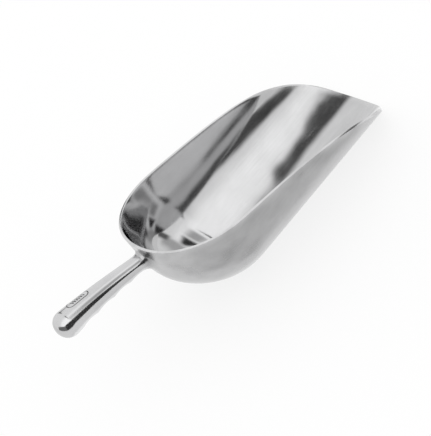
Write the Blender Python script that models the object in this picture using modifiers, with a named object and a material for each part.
"""Ice scoop: a deep, round-bottomed bowl with a sloping lip, and a finger-grip handle.

Metres, +Z up, +X from the handle to the lip, mirror plane XZ. The scoop stands on the narrow
flat along the underside of its bowl, and the origin is below the middle of its bounding box.
"""

from math import asin, cos, pi, radians, sin, sqrt, tan

import bmesh
import bpy
from mathutils import Vector

# Driving dimensions of the bowl, in metres
BOWL_LENGTH = 0.270         # from the back of the rim to the lip
BOWL_DEPTH = 0.099          # from the underside to the rim at the back
BOTTOM_RADIUS = 0.0657      # outside radius of the round bottom
WALL_THICKNESS = 0.0024
WALL_LEAN = radians(1.3)    # outward lean of the walls above the round bottom
UNDERSIDE_FLAT = 0.009      # width of the flat that the scoop stands on
BACK_LENGTH = 0.0763        # length of the rounded back at the rim
BACK_FULLNESS = 2.13        # exponent of the back's outline from above, 2 is an ellipse
BACK_SWEEP = 0.48           # how far the back runs ahead of the walls as it draws in, 0 is in step
RIM_RUN = 0.162             # the rim leaves the back with this run and this fall
RIM_FALL = 0.0286
LIP_RUN = 0.0363            # and reaches the lip from this far back and this high up
LIP_RISE = 0.0636

# Driving dimensions of the handle, in metres
HANDLE_REACH = 0.1015       # from the back of the bowl to the end of the handle
ROOT_BELOW_RIM = 0.018      # where the middle line of the handle meets the bowl
HANDLE_RISE_AT_ROOT = radians(17.0)
HANDLE_RISE_AT_END = radians(6.5)
NECK_DISTANCE = 0.0125      # from the bowl to the end of the root's flare
NECK_WIDTH = 0.0172
NECK_HEIGHT = 0.0158
GRIP_WIDTH = 0.0265         # at the widest point of the grip, near its end
GRIP_HEIGHT = 0.0238
GRIP_SWELL = 1.25           # how late the grip swells from the neck, 1 is a straight taper
GRIP_FULLNESS = 2.2         # exponent of the grip's section, 2 is an ellipse
NOSE_LENGTH = 0.0125        # the rounded end
FINGER_COUNT = 4
FINGER_PITCH = 0.0200
FINGER_GROOVE_DEPTH = 0.0026
FIRST_CREST_DISTANCE = 0.0235
CREST_SOFTNESS = 0.18       # rounds the crests between the grooves
FOOT_WIDTH = 0.031          # the flared root where it meets the bowl
FOOT_DROP = 0.022           # below the middle line
FOOT_EDGE = 0.0008          # thickness of the flare at its edge
FOOT_BELOW_RIM = 0.0015     # top of the flare below the rim
FLARE_HUG = 0.55            # how far along the bowl the flare's edge runs in, 1 is straight out
NECK_HUG = 0.75             # how far the neck runs straight on towards the bowl, 0 is not at all
SEAT_CLEARANCE = 0.0003     # between the root of the handle and the bowl

# Fineness of the meshes
BACK_COLUMNS = 12
SIDE_COLUMNS = 19
WALL_ROWS = 15
SECTION_STEPS = 15
SEAT_RINGS = 3
FLARE_RINGS = 6
GRIP_RINGS = 34
NOSE_RINGS = 5
COLUMN_CROWDING = 1.6       # crowds the columns towards the lip, 1 is even
SOLVER_STEPS = 40           # of the searches for points of the rim
MERGE_DISTANCE = 0.000002

COLLECTION_NAME = "ice_scoop"


def clear_scene():
    for item in list(bpy.data.objects):
        bpy.data.objects.remove(item, do_unlink=True)


def between(start, end, share):
    return start + (end - start) * share


# Shape of the bowl ---------------------------------------------------------------------------

FLAT_ANGLE = asin(UNDERSIDE_FLAT / 2 / BOTTOM_RADIUS)
ARC_CENTRE_HEIGHT = BOTTOM_RADIUS * cos(FLAT_ANGLE)
ARC_TOP_HEIGHT = ARC_CENTRE_HEIGHT - BOTTOM_RADIUS * sin(WALL_LEAN)
ARC_TOP_GIRTH = UNDERSIDE_FLAT / 2 + BOTTOM_RADIUS * (pi / 2 - WALL_LEAN - FLAT_ANGLE)


def half_width(height):
    """Half the bowl's outside width at a height: the round bottom, then the leaning wall."""
    if height > ARC_TOP_HEIGHT:
        return BOTTOM_RADIUS * cos(WALL_LEAN) + (height - ARC_TOP_HEIGHT) * tan(WALL_LEAN)
    return sqrt(BOTTOM_RADIUS**2 - (ARC_CENTRE_HEIGHT - height) ** 2)


def girth_to_height(girth):
    """Height reached after going this far round the bowl's section from its middle line."""
    if girth <= UNDERSIDE_FLAT / 2:
        return 0.0
    if girth > ARC_TOP_GIRTH:
        return ARC_TOP_HEIGHT + (girth - ARC_TOP_GIRTH) * cos(WALL_LEAN)
    angle = FLAT_ANGLE + (girth - UNDERSIDE_FLAT / 2) / BOTTOM_RADIUS
    return ARC_CENTRE_HEIGHT - BOTTOM_RADIUS * cos(angle)


def height_to_girth(height):
    if height > ARC_TOP_HEIGHT:
        return ARC_TOP_GIRTH + (height - ARC_TOP_HEIGHT) / cos(WALL_LEAN)
    angle = pi / 2 - asin((ARC_CENTRE_HEIGHT - height) / BOTTOM_RADIUS)
    return UNDERSIDE_FLAT / 2 + BOTTOM_RADIUS * (angle - FLAT_ANGLE)


def back_reach(height):
    """How far the rounded back reaches behind the straight part at a height."""
    narrowing = half_width(height) / half_width(BOWL_DEPTH)
    return BACK_LENGTH * narrowing * (1 - BACK_SWEEP * (1 - narrowing))


def back_point(height, turn):
    """Point of the rounded back, from turn 0 on the mirror plane to pi / 2 at the straight part."""
    x = BACK_LENGTH - back_reach(height) * max(cos(turn), 0.0) ** (2 / BACK_FULLNESS)
    return Vector((x, half_width(height) * sin(turn) ** (2 / BACK_FULLNESS), height))


def back_surface(y, height):
    """Where the outside of the back lies, at a distance from the mirror plane and a height."""
    share = min(abs(y) / half_width(height), 1.0)
    return BACK_LENGTH - back_reach(height) * (1 - share**BACK_FULLNESS) ** (1 / BACK_FULLNESS)


def rim_point(share):
    """The rim from the side, from 0 at the back to 1 at the lip: (distance from the back, height)."""
    rest = 1 - share
    x = 3 * rest * share**2 * (BOWL_LENGTH - LIP_RUN) + 3 * rest**2 * share * RIM_RUN
    x += share**3 * BOWL_LENGTH
    height = rest**3 * BOWL_DEPTH + 3 * rest**2 * share * (BOWL_DEPTH - RIM_FALL)
    height += 3 * rest * share**2 * LIP_RISE
    return x, height


def rim_share(x):
    """The share of the rim, as rim_point takes it, at a distance from the back."""
    low, high = 0.0, 1.0
    for _ in range(SOLVER_STEPS):
        middle = (low + high) / 2
        if rim_point(middle)[0] < x:
            low = middle
        else:
            high = middle
    return (low + high) / 2


def back_rim_height(turn):
    """Height of the rim on the rounded back, where the rim slopes while the back curves."""
    height = BOWL_DEPTH
    for _ in range(SOLVER_STEPS):
        height = rim_point(rim_share(back_point(height, turn).x))[1]
    return height


def column_girths(top_height):
    """Steps round the section from the middle line to the rim, the first of them on the flat."""
    top = height_to_girth(top_height)
    first = min(UNDERSIDE_FLAT / 2, top / (WALL_ROWS + 1))
    return [0.0] + [between(first, top, row / WALL_ROWS) for row in range(WALL_ROWS + 1)]


def back_column(turn):
    column = [back_point(girth_to_height(girth), turn) for girth in column_girths(back_rim_height(turn))]
    column[0] = Vector((BACK_LENGTH, 0.0, 0.0))
    return column


def side_column(share):
    """A column of the straight part, leaning forward so that its foot spaces out along the bottom."""
    rim_start = rim_share(BACK_LENGTH)
    rim_x, top_height = rim_point(between(rim_start, 1.0, 1 - (1 - share) ** COLUMN_CROWDING))
    foot_x = between(BACK_LENGTH, BOWL_LENGTH, share)
    column = []
    for row, girth in enumerate(column_girths(top_height)):
        height = girth_to_height(girth)
        x = between(foot_x, rim_x, row / (WALL_ROWS + 1))
        column.append(Vector((x, min(half_width(height), girth), height)))
    return column


# Shape of the handle -------------------------------------------------------------------------

ROOT_HEIGHT = BOWL_DEPTH - ROOT_BELOW_RIM
FOOT_RISE = ROOT_BELOW_RIM - FOOT_BELOW_RIM
WIDEST_DISTANCE = HANDLE_REACH - NOSE_LENGTH


def spine(distance):
    """Middle line of the handle at a distance behind the bowl, and its direction there."""
    rise = tan(HANDLE_RISE_AT_ROOT)
    bend = (tan(HANDLE_RISE_AT_END) - rise) / HANDLE_REACH
    x = back_surface(0.0, ROOT_HEIGHT) - distance
    height = ROOT_HEIGHT + rise * distance + bend * distance**2 / 2
    return Vector((x, 0.0, height)), Vector((-1.0, 0.0, rise + bend * distance)).normalized()


def section_direction(turn, fullness):
    """Point of a rounded section of half width and half height 1, from 0 at its top to pi below."""
    across = abs(sin(turn)) ** (2 / fullness)
    up = abs(cos(turn)) ** (2 / fullness)
    return across, up if turn < pi / 2 else -up


def groove_depth(distance):
    """Depth of the finger grooves below the crests, at a distance behind the bowl."""
    pitches = (distance - FIRST_CREST_DISTANCE) / FINGER_PITCH
    if not -1 < pitches < FINGER_COUNT - 1:
        return 0.0
    wave = sqrt(sin(pi * pitches) ** 2 + CREST_SOFTNESS**2) - CREST_SOFTNESS
    return FINGER_GROOVE_DEPTH * wave / (sqrt(1 + CREST_SOFTNESS**2) - CREST_SOFTNESS)


def grip_ring(distance, scale=1.0):
    """Half a section of the grip, square to the spine, with the groove on its underside."""
    middle, ahead = spine(distance)
    up = Vector((ahead.z, 0.0, -ahead.x))
    growth = min(max((distance - NECK_DISTANCE) / (WIDEST_DISTANCE - NECK_DISTANCE), 0.0), 1.0)
    width = between(NECK_WIDTH, GRIP_WIDTH, growth**GRIP_SWELL) / 2 * scale
    height = between(NECK_HEIGHT, GRIP_HEIGHT, growth**GRIP_SWELL) / 2 * scale
    ring = []
    for step in range(SECTION_STEPS + 1):
        turn = pi * step / SECTION_STEPS
        across, lift = section_direction(turn, GRIP_FULLNESS)
        hollow = groove_depth(distance) * scale * max(-lift, 0.0) ** 2
        ring.append(middle + Vector((0.0, across * width, 0.0)) + up * (lift * height + hollow))
    return ring


def foot_point(turn, size, lift_off):
    """Point of the root over the bowl: size 1 is its edge, lift_off its distance from the bowl."""
    across, lift = section_direction(turn, 2.0)
    y = across * FOOT_WIDTH / 2 * size
    height = ROOT_HEIGHT + lift * (FOOT_RISE if lift > 0 else FOOT_DROP) * size
    return Vector((back_surface(y, height) - lift_off, y, height))


def foot_ring(size, lift_off):
    return [foot_point(pi * step / SECTION_STEPS, size, lift_off) for step in range(SECTION_STEPS + 1)]


def flare_ring(share):
    """A ring of the flared root, from its edge at 0 to the neck at 1, tangent to bowl and neck."""
    neck = grip_ring(NECK_DISTANCE)
    _, ahead = spine(NECK_DISTANCE)
    edge = foot_ring(1.0, SEAT_CLEARANCE + FOOT_EDGE)
    inner = foot_ring(FLARE_HUG, SEAT_CLEARANCE + FOOT_EDGE)
    rest = 1 - share
    ring = []
    for edge_point, inner_point, neck_point in zip(edge, inner, neck):
        neck_guide = neck_point - ahead * NECK_DISTANCE * NECK_HUG
        point = edge_point * rest**3 + inner_point * 3 * rest**2 * share
        ring.append(point + neck_guide * 3 * rest * share**2 + neck_point * share**3)
    return ring


def handle_rings():
    """Rings from the middle of the seat, out over the flare and along the grip to its end."""
    rings = [foot_ring(step / SEAT_RINGS, SEAT_CLEARANCE) for step in range(SEAT_RINGS + 1)]
    rings += [flare_ring(step / FLARE_RINGS) for step in range(FLARE_RINGS + 1)]
    for step in range(1, GRIP_RINGS + 1):
        rings.append(grip_ring(between(NECK_DISTANCE, WIDEST_DISTANCE, step / GRIP_RINGS)))
    for step in range(1, NOSE_RINGS + 1):
        turn = pi / 2 * step / NOSE_RINGS
        rings.append(grip_ring(WIDEST_DISTANCE + NOSE_LENGTH * sin(turn), cos(turn)))
    return rings


# Objects -------------------------------------------------------------------------------------


def aluminium(name, roughness):
    material = bpy.data.materials.new(name)
    material.use_nodes = True
    shader = material.node_tree.nodes["Principled BSDF"]
    shader.inputs["Base Color"].default_value = (0.68, 0.68, 0.69, 1.0)
    shader.inputs["Metallic"].default_value = 1.0
    shader.inputs["Roughness"].default_value = roughness
    return material


def lofted_half(name, rings, material, collection):
    """A skin over rings of points on one side of the mirror plane, mirrored to the other side."""
    bm = bmesh.new()
    rows = [[bm.verts.new(point - ORIGIN) for point in ring] for ring in rings]
    for row, next_row in zip(rows, rows[1:]):
        for step in range(len(row) - 1):
            bm.faces.new((row[step], row[step + 1], next_row[step + 1], next_row[step]))
    bmesh.ops.remove_doubles(bm, verts=bm.verts, dist=MERGE_DISTANCE)
    mesh = bpy.data.meshes.new(name)
    bm.to_mesh(mesh)
    bm.free()
    mesh.materials.append(material)
    item = bpy.data.objects.new(name, mesh)
    collection.objects.link(item)
    mirror = item.modifiers.new("Mirror", "MIRROR")
    mirror.use_axis = (False, True, False)
    mirror.merge_threshold = MERGE_DISTANCE
    mesh.shade_smooth()
    return item


def make_bowl(collection):
    columns = [back_column(pi / 2 * step / BACK_COLUMNS) for step in range(BACK_COLUMNS)]
    columns += [side_column(step / SIDE_COLUMNS) for step in range(SIDE_COLUMNS + 1)]
    bowl = lofted_half("bowl", columns, aluminium("bright_aluminium", 0.16), collection)
    shell = bowl.modifiers.new("Wall", "SOLIDIFY")
    shell.thickness = WALL_THICKNESS
    shell.offset = -1.0
    shell.use_even_offset = True
    return bowl


def make_handle(collection):
    return lofted_half("handle", handle_rings(), aluminium("polished_aluminium", 0.12), collection)


HANDLE_END_X = spine(HANDLE_REACH)[0].x
ORIGIN = Vector(((HANDLE_END_X + BOWL_LENGTH) / 2, 0.0, 0.0))

clear_scene()
parts = bpy.data.collections.new(COLLECTION_NAME)
bpy.context.scene.collection.children.link(parts)
make_bowl(parts)
make_handle(parts)
